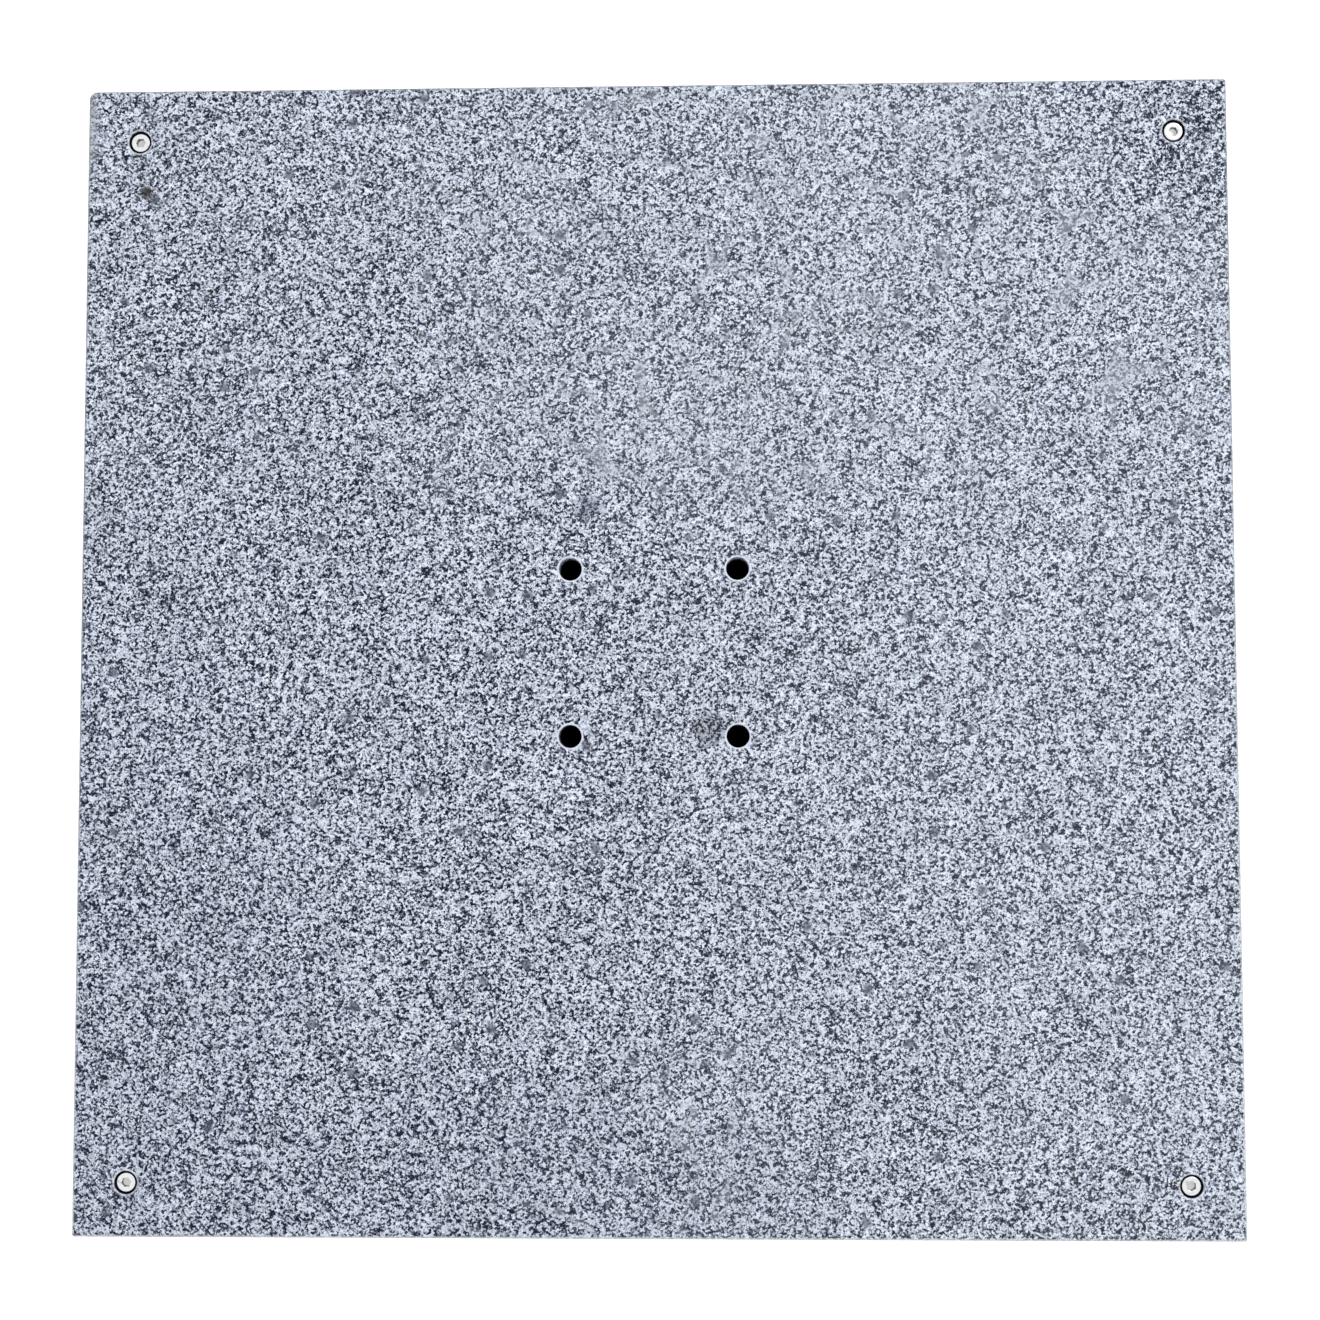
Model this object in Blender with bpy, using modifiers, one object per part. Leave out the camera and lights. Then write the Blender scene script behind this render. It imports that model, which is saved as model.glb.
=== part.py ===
"""Granite base plate on four levelling feet.

A square granite slab holds down a mast or a stand, whose foot is bolted over four holes round
the slab's centre. The slab stands on four feet. Each foot hangs on a socket-head screw that is
turned from above with a hex key, through a bore in the slab's corner, and that climbs in a
threaded bush set into the slab's underside.

Metres, +Z up. The origin is on the floor under the slab's centre, and -Y is the front. The feet
are drawn screwed right in, so that each foot disc is up against the slab.
"""

import math

import bmesh
import bpy

OBJECT_NAME = "granite_base_plate"

# Driving dimensions of the stone.
SLAB_SIDE = 0.800
SLAB_THICKNESS = 0.050
SLAB_ARRIS = 0.002  # width worn off every outer edge
SLAB_ARRIS_STEPS = 2
HOLE_ARRIS = 0.0004
MAST_HOLE_DIAMETER = 0.016
MAST_HOLE_SPACING = 0.116  # between neighbouring mast holes, along X and along Y
MAST_SEAT_WIDTH = 0.012  # ledge round a mast hole, for the bolt's washer, in the underside
MAST_COUNTERBORE_DEPTH = 0.015
CORNER_INSET = 0.037  # from the slab's edge to the axis of a levelling screw

# Driving dimensions of the levelling screws and their bushes.
THREAD_DIAMETER = 0.008
TRAVEL = 0.015  # how far a foot screws out
HEAD_CLEARANCE = 0.0015  # round a screw's head, in its bore through the slab
HEAD_SUNK = 0.0015  # from the slab's top down to a screw's head, with the foot screwed in
HEAD_STOP_GAP = 0.0005  # left between head and bush with the foot screwed out
HEAD_CHAMFER = 0.0006
SOCKET_MOUTH_DEPTH = 0.0003
SOCKET_MOUTH_MARGIN = 0.0001  # how far the mouth's chamfer reaches past the hexagon's corners
FLANGE_WIDTH = 0.0063
FLANGE_THICKNESS = 0.003
BUSH_HOLE_CHAMFER = 0.0005

# How far each screw's hexagon is turned about +Z, in degrees, from one with a corner to the rear.
SOCKET_TURNS = {
    "front_left": 8,
    "front_right": 30,
    "rear_left": 2,
    "rear_right": -5,
}

# Driving dimensions of the feet.
SOLE_DIAMETER = 0.0424
SOLE_THICKNESS = 0.003
SOLE_LIP = 0.0015  # thickness of the lip that grips the disc's rim
SOLE_LIP_HEIGHT = 0.0025
SOLE_ROUND = 0.0005
DISC_HEIGHT = 0.0084
DISC_RIM_HEIGHT = 0.004
DISC_ROUND = 0.0012
DISC_ROUND_STEPS = 3
HUB_WALL = 0.003
WASHER_THICKNESS = 0.001
WASHER_ROOM = 0.0005  # round the washer, in its seat
CLIP_THICKNESS = 0.0008
CLIP_ROOM = 0.001  # round the clip, in its recess
GROOVE_LAND = 0.001  # journal left under the clip's groove

# Clearances and round shapes.
CONTACT_GAP = 0.0003  # between pieces that touch, or that turn in one another
CUTTER_REACH = 0.001  # how far a cutter runs past the face that it opens
ROUND_STEPS = 32
SMALL_ROUND_STEPS = 24  # for pieces that are hidden inside the others
SMOOTH_BELOW = math.radians(35)

# Heights, from the floor up.
DISC_BOTTOM = SOLE_THICKNESS + CONTACT_GAP
DISC_TOP = DISC_BOTTOM + DISC_HEIGHT
SLAB_BOTTOM = DISC_TOP + CONTACT_GAP
SLAB_TOP = SLAB_BOTTOM + SLAB_THICKNESS

# A levelling screw has the proportions of a socket-head cap screw. Its end is a journal.
THREAD_RADIUS = THREAD_DIAMETER / 2
HEAD_RADIUS = 1.625 * THREAD_RADIUS
HEAD_TOP = SLAB_TOP - HEAD_SUNK
HEAD_BOTTOM = HEAD_TOP - THREAD_DIAMETER
SOCKET_FLATS = 0.75 * THREAD_DIAMETER
SOCKET_DEPTH = 0.5 * THREAD_DIAMETER
SOCKET_CORNER_RADIUS = SOCKET_FLATS / 2 / math.cos(math.radians(30))
SOCKET_MOUTH_RADIUS = SOCKET_CORNER_RADIUS + SOCKET_MOUTH_MARGIN
JOURNAL_RADIUS = 0.75 * THREAD_RADIUS
JOURNAL_BOTTOM = DISC_BOTTOM + CONTACT_GAP
GROOVE_RADIUS = 0.575 * THREAD_RADIUS
GROOVE_BOTTOM = JOURNAL_BOTTOM + GROOVE_LAND
GROOVE_TOP = GROOVE_BOTTOM + CLIP_THICKNESS + 2 * CONTACT_GAP

# A foot's disc is held on the journal between a thrust washer and a retaining clip.
WASHER_RADIUS = THREAD_DIAMETER
WASHER_TOP = DISC_TOP - CONTACT_GAP
WASHER_BOTTOM = WASHER_TOP - WASHER_THICKNESS
WASHER_SEAT = WASHER_BOTTOM - CONTACT_GAP
WASHER_SEAT_RADIUS = WASHER_RADIUS + WASHER_ROOM
HUB_RADIUS = WASHER_SEAT_RADIUS + HUB_WALL
JOURNAL_HOLE_RADIUS = JOURNAL_RADIUS + CONTACT_GAP
CLIP_TOP = GROOVE_TOP - CONTACT_GAP
CLIP_BOTTOM = GROOVE_BOTTOM + CONTACT_GAP
CLIP_INNER_RADIUS = GROOVE_RADIUS + CONTACT_GAP
CLIP_OUTER_RADIUS = 1.375 * THREAD_RADIUS
CLIP_MOUTH = 1.75 * GROOVE_RADIUS
CLIP_RECESS_RADIUS = CLIP_OUTER_RADIUS + CLIP_ROOM
CLIP_RECESS_TOP = GROOVE_TOP + CONTACT_GAP
SOLE_RADIUS = SOLE_DIAMETER / 2
SOLE_LIP_TOP = SOLE_THICKNESS + SOLE_LIP_HEIGHT
DISC_RADIUS = SOLE_RADIUS - SOLE_LIP - CONTACT_GAP

# A threaded bush fills the bore from below, and its flange lies in a recess.
BORE_RADIUS = HEAD_RADIUS + HEAD_CLEARANCE
BUSH_RADIUS = BORE_RADIUS - CONTACT_GAP
BUSH_HOLE_RADIUS = THREAD_RADIUS + CONTACT_GAP
BUSH_TOP = HEAD_BOTTOM - TRAVEL - HEAD_STOP_GAP
FLANGE_RADIUS = BUSH_RADIUS + FLANGE_WIDTH
FLANGE_TOP = SLAB_BOTTOM + FLANGE_THICKNESS
FLANGE_RECESS_RADIUS = FLANGE_RADIUS + CONTACT_GAP
FLANGE_RECESS_TOP = FLANGE_TOP + CONTACT_GAP

# Which way each corner lies from the centre, along X and Y.
CORNERS = {
    "front_left": (-1, -1),
    "front_right": (1, -1),
    "rear_left": (-1, 1),
    "rear_right": (1, 1),
}


def clear_scene():
    for obj in list(bpy.data.objects):
        bpy.data.objects.remove(obj, do_unlink=True)


def new_collection(name):
    collection = bpy.data.collections.new(name)
    bpy.context.scene.collection.children.link(collection)
    return collection


def new_material(name, colour, roughness, metallic=0.0):
    material = bpy.data.materials.new(name)
    material.use_nodes = True
    shader = material.node_tree.nodes["Principled BSDF"]
    shader.inputs["Base Color"].default_value = (*colour, 1.0)
    shader.inputs["Roughness"].default_value = roughness
    shader.inputs["Metallic"].default_value = metallic
    return material


def new_object(name, shape, collection, parent=None):
    """An object from a bmesh, which is freed."""
    mesh = bpy.data.meshes.new(name)
    shape.to_mesh(mesh)
    shape.free()
    obj = bpy.data.objects.new(name, mesh)
    obj.parent = parent
    collection.objects.link(obj)
    return obj


def arc(centre, radius, start, end, steps):
    """Points of a round stretch of an outline, between two angles in degrees."""
    angles = [math.radians(start + (end - start) * step / steps) for step in range(steps + 1)]
    return [
        (centre[0] + radius * math.cos(angle), centre[1] + radius * math.sin(angle))
        for angle in angles
    ]


def turned(name, outline, collection, parent, ring=False, steps=ROUND_STEPS):
    """Turn an outline of (radius, height) points about the parent's Z axis.

    The outline runs down the outer side. A ring's outline closes on itself, and any other starts
    and ends on the axis.
    """
    shape = bmesh.new()
    points = [shape.verts.new((radius, 0.0, height)) for radius, height in outline]
    following = points[1:] + points[:1] if ring else points[1:]
    for start, end in zip(points, following):
        shape.edges.new((start, end))
    obj = new_object(name, shape, collection, parent)
    screw = obj.modifiers.new("Turn", "SCREW")
    screw.axis = "Z"
    screw.steps = steps
    screw.render_steps = steps
    screw.use_merge_vertices = True
    screw.merge_threshold = 0.00001
    return obj


def box(name, size, collection, parent=None):
    shape = bmesh.new()
    bmesh.ops.create_cube(shape, size=1.0)
    bmesh.ops.scale(shape, vec=size, verts=shape.verts)
    return new_object(name, shape, collection, parent)


def cut(obj, cutter):
    cutter.hide_render = True
    cutter.display_type = "WIRE"
    boolean = obj.modifiers.new(cutter.name, "BOOLEAN")
    boolean.operation = "DIFFERENCE"
    boolean.object = cutter


def finish(obj, material):
    """Settle an object's modifiers into its mesh, give it its material and shade it smooth."""
    bpy.context.view_layer.update()
    graph = bpy.context.evaluated_depsgraph_get()
    mesh = bpy.data.meshes.new_from_object(obj.evaluated_get(graph))
    mesh.name = obj.name
    obj.modifiers.clear()
    obj.data = mesh
    mesh.materials.clear()
    mesh.materials.append(material)
    mesh.shade_smooth()
    mesh.set_sharp_from_angle(angle=SMOOTH_BELOW)


def corner_axes(suffix, reach, collection):
    """An empty on the floor for each corner's upright axis, as far out as the reach each way."""
    axes = {}
    for corner, (x, y) in CORNERS.items():
        axes[corner] = bpy.data.objects.new(f"{corner}_{suffix}", None)
        axes[corner].location = (x * reach, y * reach, 0.0)
        axes[corner].empty_display_size = SLAB_THICKNESS
        collection.objects.link(axes[corner])
    return axes


def hole_cutter(name, radius, recess_radius, recess_top, cutters, axis):
    """A hole right through the slab, with a wider recess at its lower end."""
    above = SLAB_TOP + CUTTER_REACH
    below = SLAB_BOTTOM - CUTTER_REACH
    outline = [
        (0.0, above),
        (radius + HOLE_ARRIS + CUTTER_REACH, above),
        (radius, SLAB_TOP - HOLE_ARRIS),
        (radius, recess_top),
        (recess_radius, recess_top),
        (recess_radius, below),
        (0.0, below),
    ]
    return turned(name, outline, cutters, axis)


def granite_slab(screw_axes, parts, cutters, material):
    slab = box("granite_slab", (SLAB_SIDE, SLAB_SIDE, SLAB_THICKNESS), parts)
    slab.location.z = (SLAB_TOP + SLAB_BOTTOM) / 2
    arris = slab.modifiers.new("Arris", "BEVEL")
    arris.width = SLAB_ARRIS
    arris.segments = SLAB_ARRIS_STEPS
    for corner, axis in screw_axes.items():
        name = f"{corner}_bore_cutter"
        recess = (FLANGE_RECESS_RADIUS, FLANGE_RECESS_TOP)
        cut(slab, hole_cutter(name, BORE_RADIUS, *recess, cutters, axis))
    mast_radius = MAST_HOLE_DIAMETER / 2
    for corner, axis in corner_axes("mast_hole_axis", MAST_HOLE_SPACING / 2, cutters).items():
        name = f"{corner}_mast_hole_cutter"
        recess = (mast_radius + MAST_SEAT_WIDTH, SLAB_BOTTOM + MAST_COUNTERBORE_DEPTH)
        cut(slab, hole_cutter(name, mast_radius, *recess, cutters, axis))
    finish(slab, material)


def threaded_bush(corner, axis, parts, material):
    """A flanged bush glued into the bore from below."""
    outline = [
        (BUSH_HOLE_RADIUS + BUSH_HOLE_CHAMFER, BUSH_TOP),
        (BUSH_RADIUS, BUSH_TOP),
        (BUSH_RADIUS, FLANGE_TOP),
        (FLANGE_RADIUS, FLANGE_TOP),
        (FLANGE_RADIUS, SLAB_BOTTOM),
        (BUSH_HOLE_RADIUS + BUSH_HOLE_CHAMFER, SLAB_BOTTOM),
        (BUSH_HOLE_RADIUS, SLAB_BOTTOM + BUSH_HOLE_CHAMFER),
        (BUSH_HOLE_RADIUS, BUSH_TOP - BUSH_HOLE_CHAMFER),
    ]
    name = f"threaded_bush_{corner}"
    bush = turned(name, outline, parts, axis, ring=True, steps=SMALL_ROUND_STEPS)
    finish(bush, material)


def levelling_screw(corner, axis, parts, cutters, material):
    """A socket-head screw whose turned-down end is a journal with a groove for the clip."""
    outline = [
        (0.0, HEAD_TOP - SOCKET_MOUTH_DEPTH),
        (SOCKET_FLATS / 2, HEAD_TOP - SOCKET_MOUTH_DEPTH),
        (SOCKET_MOUTH_RADIUS, HEAD_TOP),
        (HEAD_RADIUS - HEAD_CHAMFER, HEAD_TOP),
        (HEAD_RADIUS, HEAD_TOP - HEAD_CHAMFER),
        (HEAD_RADIUS, HEAD_BOTTOM),
        (THREAD_RADIUS, HEAD_BOTTOM),
        (THREAD_RADIUS, DISC_TOP),
        (JOURNAL_RADIUS, DISC_TOP),
        (JOURNAL_RADIUS, GROOVE_TOP),
        (GROOVE_RADIUS, GROOVE_TOP),
        (GROOVE_RADIUS, GROOVE_BOTTOM),
        (JOURNAL_RADIUS, GROOVE_BOTTOM),
        (JOURNAL_RADIUS, JOURNAL_BOTTOM),
        (0.0, JOURNAL_BOTTOM),
    ]
    screw = turned(f"levelling_screw_{corner}", outline, parts, axis)
    shape = bmesh.new()
    bmesh.ops.create_cone(
        shape,
        cap_ends=True,
        segments=6,
        radius1=SOCKET_CORNER_RADIUS,
        radius2=SOCKET_CORNER_RADIUS,
        depth=2 * SOCKET_DEPTH,
    )
    hexagon = new_object(f"{corner}_socket_cutter", shape, cutters, axis)
    hexagon.location.z = HEAD_TOP
    hexagon.rotation_euler.z = math.radians(SOCKET_TURNS[corner])
    cut(screw, hexagon)
    finish(screw, material)


def thrust_washer(corner, axis, parts, material):
    outline = [
        (JOURNAL_HOLE_RADIUS, WASHER_TOP),
        (WASHER_RADIUS, WASHER_TOP),
        (WASHER_RADIUS, WASHER_BOTTOM),
        (JOURNAL_HOLE_RADIUS, WASHER_BOTTOM),
    ]
    name = f"thrust_washer_{corner}"
    washer = turned(name, outline, parts, axis, ring=True, steps=SMALL_ROUND_STEPS)
    finish(washer, material)


def foot_disc(corner, axis, parts, material):
    """A moulded disc: a washer seat on top, a web with the journal's hole, a clip recess below."""
    rim_top = DISC_BOTTOM + DISC_RIM_HEIGHT
    rim = arc((DISC_RADIUS - DISC_ROUND, rim_top - DISC_ROUND), DISC_ROUND, 75, 0, DISC_ROUND_STEPS)
    outline = [
        (WASHER_SEAT_RADIUS, DISC_TOP),
        (HUB_RADIUS, DISC_TOP),
        *rim,
        (DISC_RADIUS, DISC_BOTTOM),
        (CLIP_RECESS_RADIUS, DISC_BOTTOM),
        (CLIP_RECESS_RADIUS, CLIP_RECESS_TOP),
        (JOURNAL_HOLE_RADIUS, CLIP_RECESS_TOP),
        (JOURNAL_HOLE_RADIUS, WASHER_SEAT),
        (WASHER_SEAT_RADIUS, WASHER_SEAT),
    ]
    disc = turned(f"foot_disc_{corner}", outline, parts, axis, ring=True)
    finish(disc, material)


def retaining_clip(corner, axis, parts, cutters, material):
    """A spring clip pushed sideways into the journal's groove, with its mouth to the front."""
    outline = [
        (CLIP_INNER_RADIUS, CLIP_TOP),
        (CLIP_OUTER_RADIUS, CLIP_TOP),
        (CLIP_OUTER_RADIUS, CLIP_BOTTOM),
        (CLIP_INNER_RADIUS, CLIP_BOTTOM),
    ]
    name = f"retaining_clip_{corner}"
    clip = turned(name, outline, parts, axis, ring=True, steps=SMALL_ROUND_STEPS)
    mouth_size = (CLIP_MOUTH, 2 * CLIP_OUTER_RADIUS, 2 * (CLIP_TOP - CLIP_BOTTOM))
    mouth = box(f"{corner}_clip_mouth_cutter", mouth_size, cutters, axis)
    mouth.location = (0.0, -CLIP_OUTER_RADIUS, (CLIP_TOP + CLIP_BOTTOM) / 2)
    cut(clip, mouth)
    finish(clip, material)


def rubber_sole(corner, axis, parts, material):
    """A rubber cup pressed over the disc's rim."""
    inner_radius = SOLE_RADIUS - SOLE_LIP
    lip = arc((SOLE_RADIUS - SOLE_ROUND, SOLE_LIP_TOP - SOLE_ROUND), SOLE_ROUND, 90, 0, 2)
    outline = [
        (0.0, SOLE_THICKNESS),
        (inner_radius, SOLE_THICKNESS),
        (inner_radius, SOLE_LIP_TOP),
        *lip,
        (SOLE_RADIUS, 2 * SOLE_ROUND),
        (SOLE_RADIUS - 2 * SOLE_ROUND, 0.0),
        (0.0, 0.0),
    ]
    finish(turned(f"rubber_sole_{corner}", outline, parts, axis), material)


def main():
    clear_scene()
    parts = new_collection(OBJECT_NAME)
    cutters = new_collection("cutters")
    granite = new_material("granite", (0.33, 0.35, 0.38), 0.55)
    brass = new_material("brass", (0.72, 0.50, 0.22), 0.35, 1.0)
    steel = new_material("stainless_steel", (0.78, 0.77, 0.75), 0.28, 1.0)
    spring_steel = new_material("spring_steel", (0.09, 0.09, 0.10), 0.4, 1.0)
    nylon = new_material("black_nylon", (0.020, 0.020, 0.022), 0.5)
    rubber = new_material("black_rubber", (0.012, 0.012, 0.012), 0.85)
    screw_axes = corner_axes("screw_axis", SLAB_SIDE / 2 - CORNER_INSET, parts)
    granite_slab(screw_axes, parts, cutters, granite)
    for corner, axis in screw_axes.items():
        threaded_bush(corner, axis, parts, brass)
        levelling_screw(corner, axis, parts, cutters, steel)
        thrust_washer(corner, axis, parts, steel)
        foot_disc(corner, axis, parts, nylon)
        retaining_clip(corner, axis, parts, cutters, spring_steel)
        rubber_sole(corner, axis, parts, rubber)


if __name__ == "__main__":
    main()
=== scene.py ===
"""Gives a packed granite base plate its looks: weathered stone, levelling screws and feet."""

import math

import bmesh
import bpy
from bpy.props import FloatProperty, FloatVectorProperty, IntProperty, PointerProperty
from mathutils import Euler, Matrix, Vector, noise


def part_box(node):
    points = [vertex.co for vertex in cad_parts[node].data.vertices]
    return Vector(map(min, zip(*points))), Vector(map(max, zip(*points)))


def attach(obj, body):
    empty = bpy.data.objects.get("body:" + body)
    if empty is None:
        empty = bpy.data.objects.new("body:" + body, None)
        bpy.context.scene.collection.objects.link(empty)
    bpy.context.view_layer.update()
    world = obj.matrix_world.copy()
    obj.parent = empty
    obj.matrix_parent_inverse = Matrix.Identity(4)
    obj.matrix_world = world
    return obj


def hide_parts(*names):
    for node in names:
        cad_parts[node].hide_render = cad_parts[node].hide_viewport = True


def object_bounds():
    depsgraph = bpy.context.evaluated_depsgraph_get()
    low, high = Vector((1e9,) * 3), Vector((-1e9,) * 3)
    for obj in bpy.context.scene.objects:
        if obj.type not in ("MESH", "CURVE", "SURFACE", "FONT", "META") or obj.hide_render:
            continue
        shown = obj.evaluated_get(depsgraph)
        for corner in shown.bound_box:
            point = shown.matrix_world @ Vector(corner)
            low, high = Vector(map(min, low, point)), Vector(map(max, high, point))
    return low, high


bl_info = {
    "name": "Granite Base Plate",
    "version": (1, 0, 0),
    "blender": (4, 5, 0),
    "location": "View3D > Sidebar > Base Plate",
    "description": "Builds the stone, the levelling screws and the feet of a granite base plate",
    "category": "Object",
}

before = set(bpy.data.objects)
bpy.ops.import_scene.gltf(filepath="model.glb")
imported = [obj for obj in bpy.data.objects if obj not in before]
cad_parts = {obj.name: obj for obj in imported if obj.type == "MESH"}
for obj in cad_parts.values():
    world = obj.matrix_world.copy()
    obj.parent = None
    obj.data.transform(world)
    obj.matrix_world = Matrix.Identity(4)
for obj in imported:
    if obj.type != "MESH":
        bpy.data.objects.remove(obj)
CAD_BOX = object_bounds()

MM = 0.001
CORNERS = ("front_left", "front_right", "rear_left", "rear_right")
SLAB_LOW, SLAB_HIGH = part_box("granite_slab")


def corner_signs(corner):
    """Which way a corner lies from the middle, along X and along Y."""
    return (-1 if "left" in corner else 1), (-1 if "front" in corner else 1)


def screw_place(corner):
    """Where a corner's levelling screw stands, on the floor."""
    low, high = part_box("levelling_screw_" + corner)
    return Vector(((low.x + high.x) / 2, (low.y + high.y) / 2, 0.0))


SCREW_PLACES = {corner: screw_place(corner) for corner in CORNERS}
SCREW_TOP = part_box("levelling_screw_rear_right")[1].z
SCREW_REACH = SCREW_PLACES["rear_right"].x
MAST_REACH = 58 * MM

# Sizes of the drilled holes, the screws and their washers, in metres. Heights are above the floor.
HOLE_RADIUS = 0.008
COUNTERBORE_RADIUS, COUNTERBORE_DEPTH = 0.020, 0.015
RECESS_RADIUS, RECESS_DEPTH = 0.0143, 0.0033
THREAD_RADIUS, JOURNAL_RADIUS, GROOVE_RADIUS = 0.004, 0.003, 0.0023
GROOVE_LOW, GROOVE_HIGH, SHOULDER = 0.0046, 0.0060, 0.0117
HEAD_HEIGHT = 0.008
WASHER_BORE = 0.0033


# ---------------------------------------------------------------- settings


def colour_setting(name, description, default):
    """A setting that holds a colour."""
    return FloatVectorProperty(name=name, description=description, default=default, subtype="COLOR")


def length_setting(name, description, default, **limits):
    """A setting that holds a small length."""
    return FloatProperty(
        name=name, description=description, default=default, unit="LENGTH", precision=5, **limits
    )


class StoneSettings(bpy.types.PropertyGroup):
    """Sizes and colours of the granite slab."""

    arris: length_setting(
        "Arris", "Width of the softened edge round the top of the slab", 2 * MM, min=0.2 * MM
    )
    edge_wear: length_setting(
        "Edge wear", "How deep the small knocks along the arris go", 0.7 * MM, min=0.0
    )
    corner_radius: length_setting(
        "Corner radius", "Rounding of three of the slab's upright corners", 1.8 * MM
    )
    worn_corner_radius: length_setting(
        "Worn corner radius",
        "Rounding of the upright corner at the rear left, which is knocked off",
        5.5 * MM,
    )
    hole_arris: length_setting(
        "Hole arris", "Width of the softened edge round each drilled hole", 0.4 * MM
    )
    grain: length_setting("Grain", "Typical width of one mineral grain", 1.45 * MM)
    biotite: colour_setting("Biotite", "Colour of the black mica grains", (0.005, 0.007, 0.021))
    dark_quartz: colour_setting(
        "Dark quartz", "Colour of the darker grey grains", (0.036, 0.047, 0.096)
    )
    quartz: colour_setting("Quartz", "Colour of the middle grey grains", (0.215, 0.255, 0.345))
    feldspar: colour_setting("Feldspar", "Colour of the pale grains", (0.545, 0.605, 0.725))
    white_feldspar: colour_setting(
        "White feldspar", "Colour of the palest grains", (0.77, 0.83, 0.95)
    )
    xenolith: colour_setting(
        "Xenolith", "Colour of the round spots of finer, darker stone", (0.080, 0.092, 0.130)
    )
    damp: colour_setting(
        "Damp", "Colour that damp gives the left and front of the slab", (0.055, 0.050, 0.150)
    )
    dust: colour_setting(
        "Dust", "Colour of the dust that dried water left behind", (0.38, 0.415, 0.475)
    )
    # painted sheen: the pale colour laid over the lit side as a reflection of the lamp
    painted_sheen: colour_setting(
        "Haze", "Colour of the bleached film on the sunny side", (0.62, 0.65, 0.70)
    )
    bruised: colour_setting(
        "Bruised arris", "Colour of the crushed grains along the arris", (0.60, 0.65, 0.66)
    )
    # painted shadow: also the darker colour of the rear arris, standing in for the shade along that
    # edge
    scuffed_and_shaded: colour_setting(
        "Scuffed arris",
        "Colour of the arris at the rear, where it is only scuffed",
        (0.30, 0.325, 0.36),
    )
    stain: colour_setting("Stain", "Colour of the brown-black stains", (0.030, 0.028, 0.022))
    # painted shade: the near-black colour painted down the walls of the drilled holes
    hole_shade: colour_setting(
        "Slurry", "Colour of the dark dirt on the walls of the drilled holes", (0.006, 0.006, 0.007)
    )


class ScrewSettings(bpy.types.PropertyGroup):
    """Sizes and colours of the levelling screws, their washers and clips."""

    pitch: length_setting("Thread pitch", "Rise of the thread in one turn", 1.25 * MM)
    thread_depth: length_setting("Thread depth", "Depth of the thread's groove", 0.62 * MM)
    socket_flats: length_setting(
        "Socket across flats", "Size of the hexagon key that fits the socket", 6 * MM
    )
    socket_depth: length_setting("Socket depth", "Depth of the hexagon socket", 4 * MM)
    knurl_teeth: IntProperty(
        name="Knurl teeth",
        description="Number of knurled teeth round the screw's head",
        default=60,
        min=12,
    )
    knurl_depth: length_setting(
        "Knurl depth", "Depth of the grooves between the knurled teeth", 0.22 * MM
    )
    steel: colour_setting("Steel", "Colour of the stainless steel", (0.93, 0.94, 0.95))
    # also the colour of the painted shade in the socket and down the side of the head
    grime_and_shade: colour_setting("Grime", "Colour of the dried dirt on the heads", (0.055, 0.053, 0.050))


class FootSettings(bpy.types.PropertyGroup):
    """Sizes and colours of the feet and the brass bushes."""

    tread_grooves: IntProperty(
        name="Tread grooves",
        description="Number of round grooves in the underside of a rubber sole",
        default=4,
        min=0,
    )
    tread_depth: length_setting(
        "Tread depth", "Depth of the grooves in the underside of a rubber sole", 0.8 * MM
    )
    brass: colour_setting("Brass", "Colour of the bushes", (0.62, 0.44, 0.19))
    nylon: colour_setting("Nylon", "Colour of the foot discs", (0.018, 0.018, 0.019))
    rubber: colour_setting("Rubber", "Colour of the soles", (0.028, 0.027, 0.026))


class StageSettings(bpy.types.PropertyGroup):
    """Floor, lights and camera."""

    floor: colour_setting("Floor", "Colour of the floor", (0.90, 0.90, 0.90))
    floor_radius: FloatProperty(
        name="Floor radius",
        description="Radius of the round floor",
        default=12.0,
        unit="LENGTH",
    )
    sky: FloatProperty(
        name="Sky",
        description="Strength of the even light from all round",
        default=0.93,
        min=0.0,
    )
    lamp: FloatProperty(
        name="Lamp",
        description="Power of the large soft lamp at the rear right",
        default=10.0,
        min=0.0,
        unit="POWER",
    )
    focal_length: FloatProperty(
        name="Focal length",
        description="Focal length of the camera's lens",
        default=60.0,
        unit="CAMERA",
    )
    camera_place: FloatVectorProperty(
        name="Camera place",
        description="Where the camera hangs",
        default=(0.05182, -0.10555, 1.5780),
        subtype="TRANSLATION",
        unit="LENGTH",
        precision=5,
    )
    camera_turn: FloatVectorProperty(
        name="Camera turn",
        description="How the camera leans from looking straight down",
        default=(math.radians(3.77669), math.radians(1.80481), math.radians(-0.09622)),
        subtype="EULER",
        unit="ROTATION",
    )


# ---------------------------------------------------------------- materials


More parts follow.
